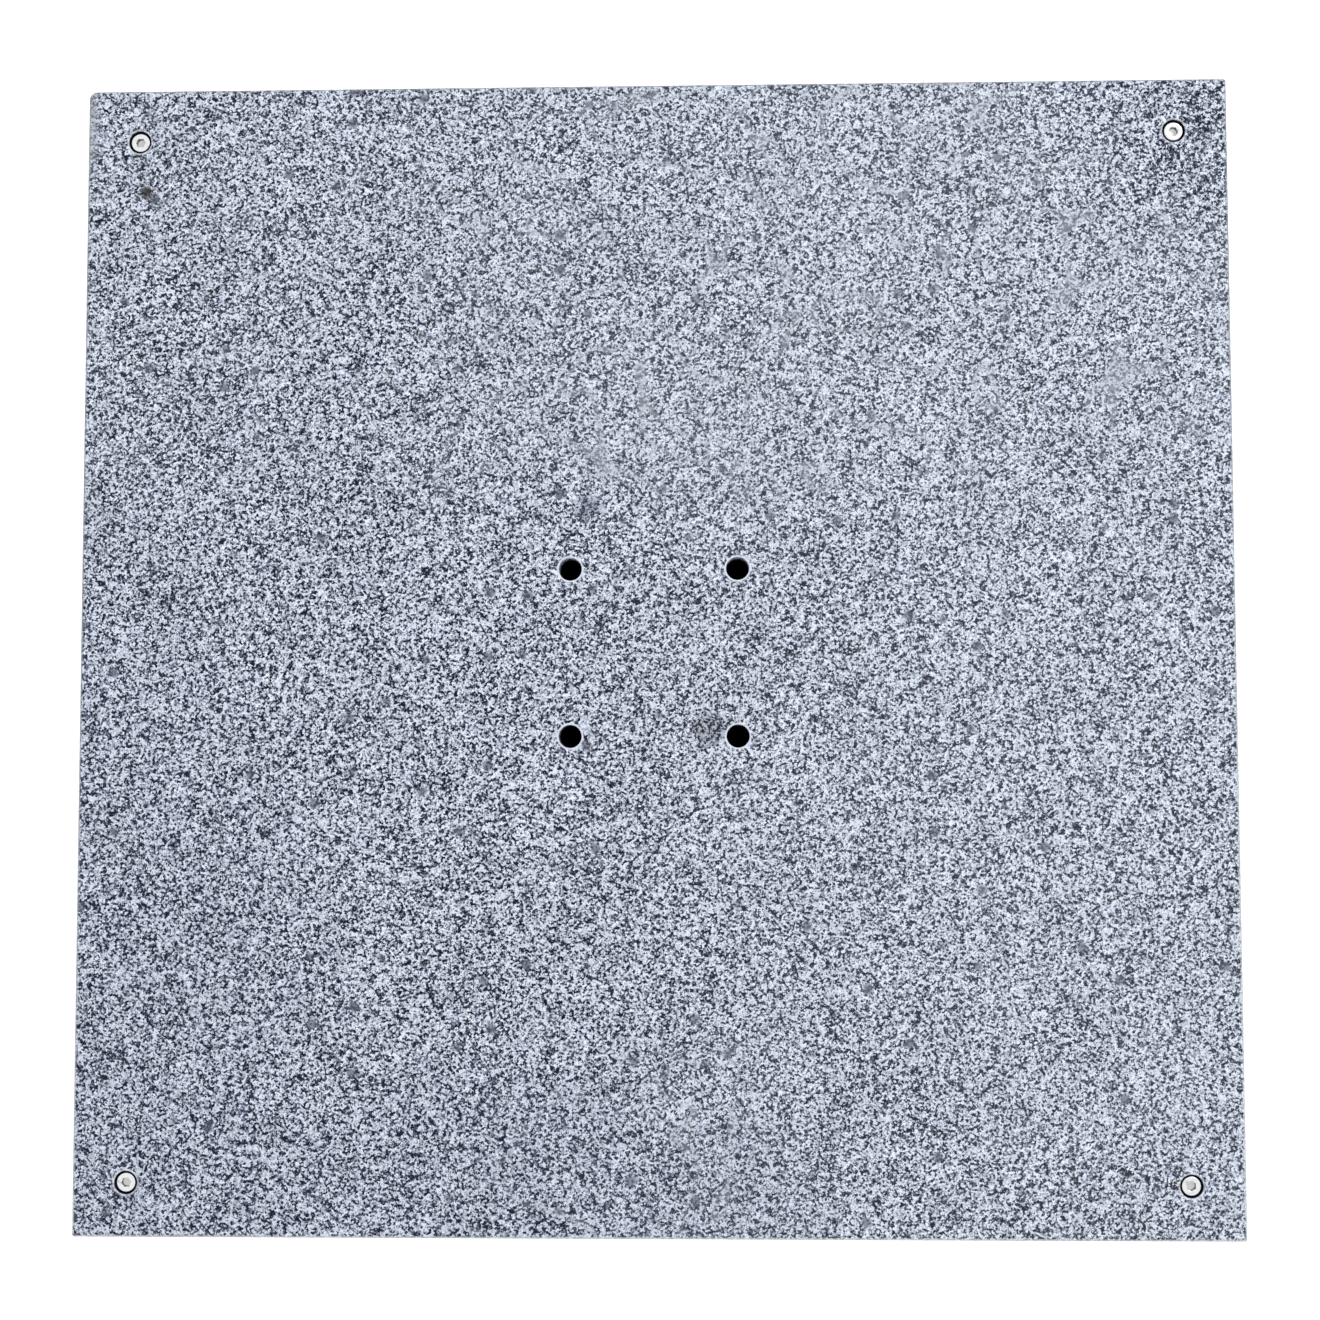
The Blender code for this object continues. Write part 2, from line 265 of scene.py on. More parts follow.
class Finish:
    """One material and its shader nodes."""

    def __init__(self, name):
        self.material = bpy.data.materials.new(name)
        self.material.use_nodes = True
        self.tree = self.material.node_tree
        self.surface = self.tree.nodes["Principled BSDF"]
        self.place = self.node("TexCoord").outputs["Object"]

    def feed(self, socket, value):
        """Links a socket to another, or sets it."""
        if isinstance(value, bpy.types.NodeSocket):
            self.tree.links.new(value, socket)
        else:
            socket.default_value = value

    def node(self, kind, inputs=None, **settings):
        """A shader node with its settings and inputs."""
        made = self.tree.nodes.new("ShaderNode" + kind)
        for name, value in settings.items():
            setattr(made, name, value)
        for key, value in (inputs or {}).items():
            self.feed(made.inputs[key], value)
        return made

    def set(self, **inputs):
        """Sets or links the surface shader's sockets."""
        for key, value in inputs.items():
            self.feed(self.surface.inputs[key.replace("_", " ")], value)

    def sum(self, operation, first, second=0.0, third=None):
        """One step of arithmetic."""
        inputs = {0: first, 1: second}
        if third is not None:
            inputs[2] = third
        return self.node("Math", inputs, operation=operation).outputs[0]

    def vector(self, operation, first, second):
        """One step of arithmetic on vectors."""
        made = self.node("VectorMath", {0: first}, operation=operation)
        if operation == "SCALE":
            self.feed(made.inputs["Scale"], second)
        else:
            self.feed(made.inputs[1], second)
        return made.outputs[0]

    def noise(self, scale, detail=2.0, roughness=0.5, distortion=0.0, colour=False):
        """Cloudy noise of so many lumps per metre."""
        inputs = {
            "Vector": self.place,
            "Scale": scale,
            "Detail": detail,
            "Roughness": roughness,
            "Distortion": distortion,
        }
        return self.node("TexNoise", inputs).outputs[1 if colour else 0]

    def cells(self, scale, place):
        """Voronoi cells of so many per metre."""
        return self.node("TexVoronoi", {"Vector": place, "Scale": scale}).outputs

    def band(self, value, low, high, to_low=0.0, to_high=1.0, smooth=True):
        """Maps one range of a value onto another and holds the ends."""
        inputs = {0: value, 1: low, 2: high, 3: to_low, 4: to_high}
        kind = "SMOOTHSTEP" if smooth else "LINEAR"
        return self.node("MapRange", inputs, interpolation_type=kind).outputs[0]

    def mix(self, factor, first, second, blend="MIX"):
        """Mixes two colours."""
        inputs = {0: factor, 6: first, 7: second}
        made = self.node("Mix", inputs, data_type="RGBA", blend_type=blend)
        return made.outputs[2]

    def ramp(self, factor, stops):
        """A colour ramp from (position, colour) stops."""
        made = self.node("ValToRGB", {0: factor})
        elements = made.color_ramp.elements
        while len(elements) < len(stops):
            elements.new(1.0)
        for element, (position, colour) in zip(elements, stops):
            element.position = position
            element.color = opaque(colour)
        return made.outputs[0]

    def parts(self, vector):
        """The X, Y and Z of a vector."""
        return self.node("SeparateXYZ", {0: vector}).outputs

    def shade(self, colour, tone):
        """A colour times a grey."""
        grey = self.node("CombineXYZ", {0: tone, 1: tone, 2: tone}).outputs[0]
        return self.mix(1.0, colour, grey, "MULTIPLY")

    def cover(self, colour, mask, strength, tint):
        """Lays a plain colour over another, as strongly as its mask says."""
        return self.mix(self.sum("MULTIPLY", mask, strength), colour, opaque(tint))

    def from_axis(self, x, y, reach):
        """How far a point lies from the nearest of four upright axes, a reach out along X and Y."""
        aside = self.sum("SUBTRACT", self.sum("ABSOLUTE", x), reach)
        along = self.sum("SUBTRACT", self.sum("ABSOLUTE", y), reach)
        flat = self.node("CombineXYZ", {0: aside, 1: along}).outputs[0]
        return self.node("VectorMath", {0: flat}, operation="LENGTH").outputs["Value"]

    def near(self, x, y, radius, raggedness, lumps):
        """1 in the middle of an upright column of that radius, falling to 0 at its ragged edge."""
        flat = self.vector("MULTIPLY", self.place, (1.0, 1.0, 0.0))
        away = self.vector("SUBTRACT", flat, (x, y, 0.0))
        length = self.node("VectorMath", {0: away}, operation="LENGTH").outputs["Value"]
        lump = self.sum("SUBTRACT", self.noise(lumps, detail=3), 0.5)
        length = self.sum("MULTIPLY_ADD", lump, raggedness, length)
        return self.band(length, radius, radius * 0.35)

    def bump(self, height, depth, below=None):
        """Relief on the surface, over any relief below it."""
        inputs = {"Height": height, "Distance": depth, "Strength": 1.0}
        if below is not None:
            inputs["Normal"] = below
        return self.node("Bump", inputs).outputs[0]


def opaque(colour):
    """A colour with full opacity."""
    return (colour[0], colour[1], colour[2], 1.0)


def weather(f, x, y):
    """Where the slab gets painted light, where it is damp and wet, and the wide noise that makes
    these places uneven.
    """
    wander = f.sum("SUBTRACT", f.noise(5.0, detail=3, roughness=0.55), 0.5)
    across = f.sum("MULTIPLY_ADD", y, 0.35, f.sum("MULTIPLY_ADD", wander, 0.42, x))
    # painted light: 1 towards the rear right, the side that the lamp lights
    painted_light = f.band(across, -0.20, 0.26)
    damp_left = f.band(across, -0.26, -0.44)
    damp_front = f.band(f.sum("MULTIPLY_ADD", wander, 0.2, y), -0.27, -0.34)
    damp_front = f.sum("MULTIPLY", damp_front, f.band(x, 0.16, 0.06))
    damp = f.sum("MAXIMUM", damp_left, damp_front)
    wet = f.near(0.39, 0.40, 0.155, 0.07, 26.0)
    return painted_light, damp, wet, wander


def mineral_grains(f, stone, painted_light, damp, wet):
    """The colours of the grains, and a value from 0 to 1 that tells one grain from the next."""
    wobble = f.noise(1.1 / stone.grain, detail=3, roughness=0.65, colour=True)
    wobble = f.vector("SUBTRACT", wobble, (0.5, 0.5, 0.5))
    ragged = f.vector("ADD", f.place, f.vector("SCALE", wobble, 1.25 * stone.grain))
    pick, tone, _ = f.parts(f.cells(1 / stone.grain, ragged)["Color"])
    clusters = f.sum("SUBTRACT", f.noise(0.36 / stone.grain, detail=2.5, roughness=0.6), 0.5)
    clusters = f.sum("MULTIPLY", clusters, f.sum("MULTIPLY_ADD", wet, 0.9, 0.85))
    key = f.sum("ADD", pick, clusters)
    patches = f.sum("SUBTRACT", f.noise(110.0, detail=2), 0.5)
    wet_screw = f.near(0.374, 0.352, 0.048, 0.035, 45.0)
    # the grains on the lit side are painted lighter, as painted light
    shifts = (patches, 0.16), (painted_light, 0.036), (damp, -0.006), (wet, -0.075), (wet_screw, -0.055)
    for mask, shift in shifts:
        key = f.sum("MULTIPLY_ADD", mask, shift, key)
    minerals = f.ramp(
        key,
        (
            (0.22, stone.biotite),
            (0.33, stone.dark_quartz),
            (0.42, stone.quartz),
            (0.51, stone.feldspar),
            (0.86, stone.white_feldspar),
        ),
    )
    fleck_pick = f.parts(f.cells(2.1 / stone.grain, ragged)["Color"])[0]
    minerals = f.cover(minerals, f.band(fleck_pick, 0.20, 0.12), 0.80, stone.biotite)
    minerals = f.cover(minerals, f.band(fleck_pick, 0.86, 0.92), 0.30, stone.white_feldspar)
    minerals = f.shade(minerals, f.band(tone, 0.0, 1.0, 0.86, 1.12, smooth=False))

    blurred = f.vector("ADD", f.place, f.vector("SCALE", wobble, 3.0 * stone.grain))
    xenoliths = f.cells(42.0, blurred)
    lump = f.band(f.parts(xenoliths["Color"])[0], 0.46, 0.40)
    lump = f.sum("MULTIPLY", f.band(xenoliths["Distance"], 0.20, 0.10), lump)
    minerals = f.cover(minerals, lump, 0.75, stone.xenolith)
    clouds = f.noise(19.0, detail=4, roughness=0.65)
    minerals = f.shade(minerals, f.band(clouds, 0.30, 0.70, 0.95, 1.04, smooth=False))
    return f.cover(minerals, damp, 0.08, stone.damp), pick


def dried_water(f, stone, colour, x, y, painted_light, wet, wander):
    """Tide marks at the rear, the right and the front, and a pale painted sheen over the lit side.
    """
    rear = f.band(f.sum("MULTIPLY_ADD", wander, 0.25, y), 0.08, 0.16)
    right = f.band(f.sum("MULTIPLY_ADD", wander, 0.3, x), -0.22, -0.02)
    dried = f.sum("MULTIPLY", rear, f.sum("MULTIPLY_ADD", right, 0.65, 0.35))
    front = f.sum("MULTIPLY", f.near(0.0, -0.36, 0.16, 0.10, 12.0), 0.8)
    dried = f.sum("MAXIMUM", dried, front)
    pool = f.noise(9.0, detail=1.5, roughness=0.5, distortion=0.9)
    tide = f.band(f.sum("PINGPONG", f.sum("MULTIPLY", pool, 7.0), 0.5), 0.09, 0.0)
    veil = f.sum("MULTIPLY_ADD", tide, 0.42, f.band(pool, 0.35, 0.65, 0.0, 0.06))
    dry = f.sum("MULTIPLY_ADD", wet, -0.9, 1.0)
    colour = f.cover(colour, f.sum("MULTIPLY", dried, veil), dry, stone.dust)
    # painted sheen: the lit side is lightened towards a pale grey
    return f.cover(colour, f.sum("MULTIPLY", painted_light, dry), 0.045, stone.painted_sheen)


def crushed_and_shaded_arris(f, stone, colour, x, y, depth):
    """Crushed pale grains along the upper arris, darker towards the rear left as a painted shadow
    of the edge, and a scuff on the left side near the rear.
    """
    half = SLAB_HIGH.x
    out = f.sum("MAXIMUM", f.sum("ABSOLUTE", x), f.sum("ABSOLUTE", y))
    uneven = f.sum("SUBTRACT", f.noise(300.0, detail=3), 0.5)
    out = f.sum("MULTIPLY_ADD", uneven, 0.0016, out)
    rim = f.band(out, half - stone.arris * 1.05, half - stone.arris * 0.45)
    upper = f.band(depth, stone.arris * 1.15, stone.arris * 0.8)
    front = f.band(f.sum("MULTIPLY_ADD", x, 0.3, f.sum("MULTIPLY", y, -1.0)), -0.2, half)
    # painted shadow: towards the rear left the arris takes the darker colour, as shade along the
    # edge
    crushed = f.mix(front, opaque(stone.scuffed_and_shaded), opaque(stone.bruised))
    colour = f.mix(f.sum("MULTIPLY", f.sum("MULTIPLY", rim, upper), 0.68), colour, crushed)
    scuff = f.sum("MULTIPLY", f.band(x, -half + 0.009, -half + 0.004), f.band(y, 0.33, 0.36))
    scuff = f.sum("MULTIPLY", scuff, f.band(depth, 0.006, 0.001))
    return f.cover(colour, scuff, 0.5, stone.scuffed_and_shaded)


def hole_walls(f, stone, colour, x, y, depth):
    """A pale lip round every drilled hole, as a painted highlight on its arris, and painted shade
    on the wall below it.
    """
    bores = (MAST_REACH, 0.85, 0.003, 0.022), (SCREW_REACH, 0.45, 0.0003, 0.0014)
    for reach, pale, clean_to, black_from in bores:
        far = f.from_axis(x, y, reach)
        # painted highlight: a pale ring on the hole's arris, where it catches the light
        lip = f.band(far, HOLE_RADIUS + 0.0016, HOLE_RADIUS + 0.0008)
        lip = f.sum("MULTIPLY", lip, f.band(depth, 0.0009, 0.0004))
        colour = f.cover(colour, lip, pale, stone.white_feldspar)
        # painted shade: the wall below the lip turns near black, as the dark inside a deep hole
        wall_shade = f.band(far, HOLE_RADIUS + 0.0008, HOLE_RADIUS + 0.0004)
        wall_shade = f.sum("MULTIPLY", wall_shade, f.band(depth, clean_to, black_from))
        colour = f.cover(colour, wall_shade, 0.97, stone.hole_shade)
    return colour


def granite_finish(stone):
    """Fine-grained granite: mica, quartz and feldspar, with a worn arris, tide marks and damp, and
    painted light and shade: a sheen on the lit side, a darker rear arris, pale hole lips and dark
    hole walls.
    """
    f = Finish("honed granite")
    x, y, z = f.parts(f.place)
    depth = f.sum("SUBTRACT", SLAB_HIGH.z, z)
    painted_light, damp, wet, wander = weather(f, x, y)
    colour, pick = mineral_grains(f, stone, painted_light, damp, wet)
    colour = dried_water(f, stone, colour, x, y, painted_light, wet, wander)
    stains = (
        (-0.044, 0.102, 0.013, 0.012, 90.0, 0.45, stone.dark_quartz),
        (0.038, -0.053, 0.016, 0.014, 90.0, 0.42, stone.biotite),
        (-0.358, 0.327, 0.0065, 0.005, 160.0, 0.9, stone.stain),
    )
    for *where, strength, tint in stains:
        colour = f.cover(colour, f.near(*where), strength, tint)
    colour = crushed_and_shaded_arris(f, stone, colour, x, y, depth)
    colour = hole_walls(f, stone, colour, x, y, depth)
    f.set(Base_Color=colour, Specular_IOR_Level=0.12)
    f.set(Roughness=f.band(pick, 0.0, 1.0, 0.62, 0.48, smooth=False))
    relief = f.bump(f.noise(900.0, detail=3, roughness=0.7), 0.00012)
    f.set(Normal=f.bump(pick, 0.00010, relief))
    return f.material


def steel_finish(name, colour, grime_and_shade, dirt=0.5, roughness=0.24):
    """Turned stainless steel with smears of dried dirt, and painted shade in the hexagon socket and
    down the side of the head.
    """
    f = Finish(name)
    x, y, z = f.parts(f.place)
    far = f.from_axis(x, y, SCREW_REACH)
    depth = f.sum("SUBTRACT", SCREW_TOP, z)
    smears = f.noise(420.0, detail=4, roughness=0.6)
    mask = f.sum("MULTIPLY", f.band(smears, 0.56, 0.72), dirt)
    # painted shade: the socket, darkest on its walls, and the side of the head below the crown take
    # the grime colour
    socket_shade = f.sum("MULTIPLY", f.band(far, 0.0040, 0.0036), f.band(depth, 0.0002, 0.0016))
    wall = f.sum("MULTIPLY", f.band(far, 0.0026, 0.0031), socket_shade)
    side = f.sum("MULTIPLY", f.band(far, 0.0063, 0.00645), f.band(depth, 0.0003, 0.0012))
    for part, strength in ((socket_shade, 0.22), (wall, 0.72), (side, 0.8)):
        mask = f.sum("MAXIMUM", mask, f.sum("MULTIPLY", part, strength))
    tint = f.mix(mask, opaque(colour), opaque(grime_and_shade))
    ring_spacing = 0.00022
    turning = f.sum("SINE", f.sum("MULTIPLY", far, math.tau / ring_spacing))
    turning = f.sum("MULTIPLY_ADD", turning, 0.03, 0.97)
    metal = f.sum("SUBTRACT", 1.0, f.sum("MULTIPLY", mask, 0.8))
    f.set(Base_Color=f.shade(tint, turning), Metallic=metal)
    rough = f.sum("MULTIPLY_ADD", f.noise(900.0, detail=3), 0.16, roughness - 0.08)
    f.set(Roughness=f.sum("MULTIPLY_ADD", mask, 0.4, rough))
    f.set(Normal=f.bump(f.noise(2600.0, detail=3, roughness=0.7), 0.00002))
    return f.material


def brass_finish(foot):
    """Tarnished brass."""
    f = Finish("tarnished brass")
    spots = f.noise(240.0, detail=5, roughness=0.65)
    tarnish = (0.26, 0.16, 0.07, 1.0)
    tint = f.mix(f.band(spots, 0.42, 0.68), opaque(foot.brass), tarnish)
    f.set(Base_Color=tint, Metallic=1.0)
    f.set(Roughness=f.band(spots, 0.30, 0.75, 0.28, 0.55))
    f.set(Normal=f.bump(f.noise(1500.0, detail=3, roughness=0.7), 0.00003))
    return f.material


def nylon_finish(foot):
    """Moulded nylon with a fine eroded texture."""
    f = Finish("moulded nylon")
    dust = f.band(f.noise(160.0, detail=4), 0.45, 0.75)
    f.set(Base_Color=f.cover(opaque(foot.nylon), dust, 0.35, (0.10, 0.095, 0.085)))
    f.set(Roughness=f.band(dust, 0.0, 1.0, 0.42, 0.7))
    f.set(Normal=f.bump(f.noise(2400.0, detail=2, roughness=0.6), 0.00004))
    return f.material


def rubber_finish(foot):
    """Matt rubber with a dusty bloom."""
    f = Finish("moulded rubber")
    bloom = f.band(f.noise(130.0, detail=5, roughness=0.6), 0.40, 0.72)
    f.set(Base_Color=f.cover(opaque(foot.rubber), bloom, 0.4, (0.13, 0.12, 0.105)))
    f.set(Roughness=f.band(bloom, 0.0, 1.0, 0.68, 0.9))
    f.set(Normal=f.bump(f.noise(1800.0, detail=3, roughness=0.7), 0.00006))
    return f.material


# ---------------------------------------------------------------- shapes


def turned(bm, profile, centre=(0.0, 0.0), steps=96):
    """Spins an open chain of (radius, height) points round an upright axis."""
    centre = Vector((centre[0], centre[1], 0.0))
    chain = []
    for radius, height in profile:
        chain.append(bm.verts.new(centre + Vector((radius, 0.0, height))))
    edges = [bm.edges.new(pair) for pair in zip(chain, chain[1:])]
    bmesh.ops.spin(
        bm,
        geom=chain + edges,
        cent=centre,
        axis=(0.0, 0.0, 1.0),
        dvec=(0.0, 0.0, 0.0),
        angle=math.tau,
        steps=steps,
        use_merge=True,
        use_normal_flip=False,
        use_duplicate=False,
    )


def turned_ring(bm, profile, steps=96):
    """Spins a closed chain of (radius, height) points round the upright axis through the origin."""
    turned(bm, list(profile) + [profile[0]], steps=steps)
    bmesh.ops.remove_doubles(bm, verts=bm.verts, dist=0.00001)


def softened(points, width, steps=3):
    """Rounds the corners of a closed chain of (radius, height) points."""
    out = []
    count = len(points)
    for index, point in enumerate(points):
        here = Vector(point)
        before = Vector(points[index - 1]) - here
        after = Vector(points[(index + 1) % count]) - here
        reach = min(width, before.length * 0.45, after.length * 0.45)
        start = here + before.normalized() * reach
        end = here + after.normalized() * reach
        for step in range(steps + 1):
            t = step / steps
            spot = start.lerp(here, t).lerp(here.lerp(end, t), t)
            out.append((spot.x, spot.y))
    return out


def piece_from(bm, name, material, sharp_degrees=35.0):
    """Makes an object of a bmesh, with its faces outwards and its edges sharp past an angle."""
    bmesh.ops.recalc_face_normals(bm, faces=bm.faces)
    for face in bm.faces:
        face.smooth = True
    for edge in bm.edges:
        if len(edge.link_faces) == 2 and edge.calc_face_angle(0.0) > math.radians(sharp_degrees):
            edge.smooth = False
    mesh = bpy.data.meshes.new(name)
    bm.to_mesh(mesh)
    bm.free()
    mesh.materials.append(material)
    piece = bpy.data.objects.new(name, mesh)
    bpy.context.scene.collection.objects.link(piece)
    return piece


def settle(piece, body, node):
    """Puts a finished piece in the frame, in place of its CAD node."""
    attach(piece, body)
    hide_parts(node)


def at_corners(pieces_by_corner, body, node):
    """Settles one piece at each corner."""
    for corner, piece in pieces_by_corner.items():
        own_body = body if body == "slab" else body + "_" + corner
        settle(piece, own_body, node + "_" + corner)


def copies_at_corners(bm, name, material, turns=None):
    """Makes a piece for each corner from a shape drawn at the origin."""
    made = {}
    for corner in CORNERS:
        own = bm.copy()
        turn = Matrix.Rotation(math.radians((turns or {}).get(corner, 0.0)), 4, "Z")
        place = Matrix.Translation(SCREW_PLACES[corner]) @ turn
        bmesh.ops.transform(own, matrix=place, verts=own.verts)
        made[corner] = piece_from(own, name + "_" + corner, material)
    bm.free()
    return made


def grown(bm, edges):
    """Extrudes a ring of edges, and returns the new verts and the new open edges."""
    made = bmesh.ops.extrude_edge_only(bm, edges=edges)["geom"]
    verts = [item for item in made if isinstance(item, bmesh.types.BMVert)]
    rim = [item for item in made if isinstance(item, bmesh.types.BMEdge) and item.is_boundary]
    return verts, rim


def ring_at(bm, height):
    """The boundary edges that lie at one height."""
    tolerance = 0.00002
    found = []
    for edge in bm.edges:
        level = all(abs(vert.co.z - height) < tolerance for vert in edge.verts)
        if edge.is_boundary and level:
            found.append(edge)
    return found


# ---------------------------------------------------------------- slab


def slab_walls(bm, stone):
    """The slab's four upright sides, with rounded upright corners and no top or underside."""
    size = SLAB_HIGH - SLAB_LOW
    place = Matrix.Translation((SLAB_HIGH + SLAB_LOW) / 2) @ Matrix.Diagonal((*size, 1.0))
    bmesh.ops.create_cube(bm, size=1.0, matrix=place)
    caps = [face for face in bm.faces if abs(face.normal.z) > 0.9]
    bmesh.ops.delete(bm, geom=caps, context="FACES_ONLY")
    for corner in CORNERS:
        sign_x, sign_y = corner_signs(corner)
        radius = stone.worn_corner_radius if corner == "rear_left" else stone.corner_radius
        upright = []
        for edge in bm.edges:
            first, last = edge.verts[0].co, edge.verts[1].co
            if abs(first.z - last.z) < 0.01:
                continue
            if all(co.x * sign_x > 0 and co.y * sign_y > 0 for co in (first, last)):
                upright.append(edge)
        bmesh.ops.bevel(
            bm,
            geom=upright,
            offset=radius,
            offset_type="OFFSET",
            segments=6,
            profile=0.5,
            affect="EDGES",
            material=-1,
            clamp_overlap=True,
        )
    long_edges = [edge for edge in bm.edges if edge.calc_length() > size.x / 2]
    vert_every = 2.5 * MM
    cuts = round(size.x / vert_every) - 1
    bmesh.ops.subdivide_edges(bm, edges=long_edges, cuts=cuts, use_grid_fill=False)
    levels = [SLAB_HIGH.z - stone.arris * part for part in (1.0, 0.62, 0.3)]
    levels += [SLAB_LOW.z + stone.arris * part for part in (0.7, 0.35)]
    for level in levels:
        bmesh.ops.bisect_plane(
            bm,
            geom=bm.verts[:] + bm.edges[:] + bm.faces[:],
            dist=0.000001,
            plane_co=(0.0, 0.0, level),
            plane_no=(0.0, 0.0, 1.0),
        )


def wear_edges(bm, stone):
    """Draws the walls' upper and lower edges inwards to an uneven arris with small knocks."""
    top, base, half = SLAB_HIGH.z, SLAB_LOW.z, SLAB_HIGH.x
    keep = half - 2.5 * stone.arris
    for vert in bm.verts:
        co = vert.co
        from_top, from_base = top - co.z, co.z - base
        wide = stone.arris if from_top < from_base else stone.arris * 0.7
        near = min(from_top, from_base)
        if near > wide * 1.01:
            continue
        core = Vector((max(-keep, min(keep, co.x)), max(-keep, min(keep, co.y)), co.z))
        out = co - core
        spot = Vector((co.x, co.y, 0.0))
        uneven = 1.0 + 0.30 * noise.noise(spot * 90.0) + 0.15 * noise.noise(spot * 310.0)
        knock = max(0.0, noise.noise(spot * 55.0 + Vector((7.0, 3.0, 1.0))) - 0.42) / 0.58
        chip = max(0.0, noise.noise(spot * 160.0 + Vector((1.0, 9.0, 4.0))) - 0.45) / 0.55
        part = 1.0 - near / wide
        rounded = 1.0 - math.sqrt(max(0.0, 1.0 - part * part))
        inward = wide * (0.55 * rounded + 0.45 * part) * min(1.25, uneven)
        inward += stone.edge_wear * part * (0.9 * knock + 0.7 * chip)
        inward = min(inward, out.length * 0.9)
        vert.co = core + out * (1.0 - inward / out.length)


def drill_holes(bm, stone):
    """The walls of the mast holes and of the corner bores, with chipped upper edges."""
    top, base, soft = SLAB_HIGH.z, SLAB_LOW.z, stone.hole_arris
    seat, recess = base + COUNTERBORE_DEPTH, base + RECESS_DEPTH
    lip = [
        (HOLE_RADIUS + soft, top),
        (HOLE_RADIUS + soft * 0.35, top - soft * 0.35),
        (HOLE_RADIUS, top - soft),
    ]
    counterbored = lip + [
        (HOLE_RADIUS, seat + 0.0004),
        (HOLE_RADIUS + 0.0004, seat),
        (COUNTERBORE_RADIUS, seat),
        (COUNTERBORE_RADIUS, base + 0.0006),
        (COUNTERBORE_RADIUS + 0.0006, base),
    ]
    recessed = lip + [
        (HOLE_RADIUS, recess),
        (RECESS_RADIUS, recess),
        (RECESS_RADIUS, base + 0.0003),
        (RECESS_RADIUS + 0.0003, base),
    ]
    middles = []
    for corner in CORNERS:
        sign_x, sign_y = corner_signs(corner)
        mast = (MAST_REACH * sign_x, MAST_REACH * sign_y)
        screw = (SCREW_PLACES[corner].x, SCREW_PLACES[corner].y)
        turned(bm, counterbored, mast)
        turned(bm, recessed, screw)
        middles += [mast, screw]
    holes_reach = SLAB_HIGH.x - 0.010
    for vert in bm.verts:
        co = vert.co
        if top - co.z > soft * 0.9 or max(abs(co.x), abs(co.y)) > holes_reach:
            continue
        middle = min(middles, key=lambda place: (co.x - place[0]) ** 2 + (co.y - place[1]) ** 2)
        out = Vector((co.x - middle[0], co.y - middle[1], 0.0))
        chip = max(0.0, noise.noise(co * 420.0) - 0.15) * 0.0009
        vert.co = co + out.normalized() * (chip + 0.00012 * noise.noise(co * 900.0) + 0.00012)


def granite_slab(stone):
    """The whole slab, closed."""
    bm = bmesh.new()
    slab_walls(bm, stone)
    wear_edges(bm, stone)
    drill_holes(bm, stone)
    for height, up in ((SLAB_HIGH.z, 1.0), (SLAB_LOW.z, -1.0)):
        bmesh.ops.triangle_fill(
            bm,
            use_beauty=True,
            use_dissolve=False,
            edges=ring_at(bm, height),
            normal=(0.0, 0.0, up),
        )
    bmesh.ops.recalc_face_normals(bm, faces=bm.faces)
    open_edges = [edge for edge in bm.edges if not edge.is_manifold]
    if open_edges:
        raise RuntimeError(f"the slab has {len(open_edges)} open edges")
    flat = []
    for face in bm.faces:
        level = abs(face.normal.z) > 0.9999
        wall = abs(face.normal.z) < 0.0001 and face.calc_area() > 0.00004
        if level or wall:
            flat.append(face.index)
    piece = piece_from(bm, "granite_slab_stone", granite_finish(stone), 50.0)
    for index in flat:
        piece.data.polygons[index].use_smooth = False
    return piece


# ---------------------------------------------------------------- screws


def socket_and_head(bm, screws, radius, top):
    """The screw's head: hexagon socket, flat crown, knurled side, and an underside with a hole."""
    mouth, chamfer, dimple = 0.0037, 0.0003, 0.0024
    under = top - HEAD_HEIGHT
    corner = screws.socket_flats / 2 / math.cos(math.pi / 6)
    around = 2 * screws.knurl_teeth
    rim = bmesh.ops.create_circle(bm, cap_ends=False, radius=mouth, segments=around)
    bmesh.ops.translate(bm, vec=(0.0, 0.0, top), verts=rim["verts"])
    hexagon = bmesh.ops.create_circle(bm, cap_ends=False, radius=corner, segments=6)
    bmesh.ops.translate(bm, vec=(0.0, 0.0, top - chamfer), verts=hexagon["verts"])
    hexagon_edges = list({edge for vert in hexagon["verts"] for edge in vert.link_edges})
    bmesh.ops.subdivide_edges(bm, edges=hexagon_edges, cuts=around // 6 - 1, use_grid_fill=False)
    hexagon_edges = [e for e in bm.edges if abs(e.verts[0].co.z - (top - chamfer)) < 1e-6]
    rim_edges = [e for e in bm.edges if abs(e.verts[0].co.z - top) < 1e-6]
    bmesh.ops.bridge_loops(bm, edges=rim_edges + hexagon_edges)

    verts, edges = grown(bm, hexagon_edges)
    bmesh.ops.translate(bm, vec=(0.0, 0.0, chamfer - screws.socket_depth), verts=verts)
    verts, edges = grown(bm, edges)
    for vert in verts:
        flat = Vector((vert.co.x, vert.co.y, 0.0)).normalized() * dimple
        vert.co = (flat.x, flat.y, vert.co.z - 0.0001)
    verts, edges = grown(bm, edges)
    tip = (0.0, 0.0, top - screws.socket_depth - 0.0009)
    bmesh.ops.pointmerge(bm, verts=verts, merge_co=tip)

    edges = [e for e in rim_edges if e.is_boundary]
    steps = (
        (radius - 0.0006, top, False),
        (radius - 0.00022, top - 0.00018, False),
        (radius - 0.00008, top - 0.0005, False),
        (radius, top - 0.0010, True),
        (radius, under + 0.0008, True),
        (radius - 0.0002, under + 0.0003, False),
        (radius - 0.0006, under, False),
        (THREAD_RADIUS + 0.0001, under, False),
    )
    for far, level, knurled in steps:
        verts, edges = grown(bm, edges)
        for vert in verts:
            way = Vector((vert.co.x, vert.co.y, 0.0)).normalized()
            tooth = round(math.atan2(way.y, way.x) / math.tau * around) % 2
            reach = far - screws.knurl_depth * (knurled and tooth)
            vert.co = way * reach + Vector((0.0, 0.0, level))


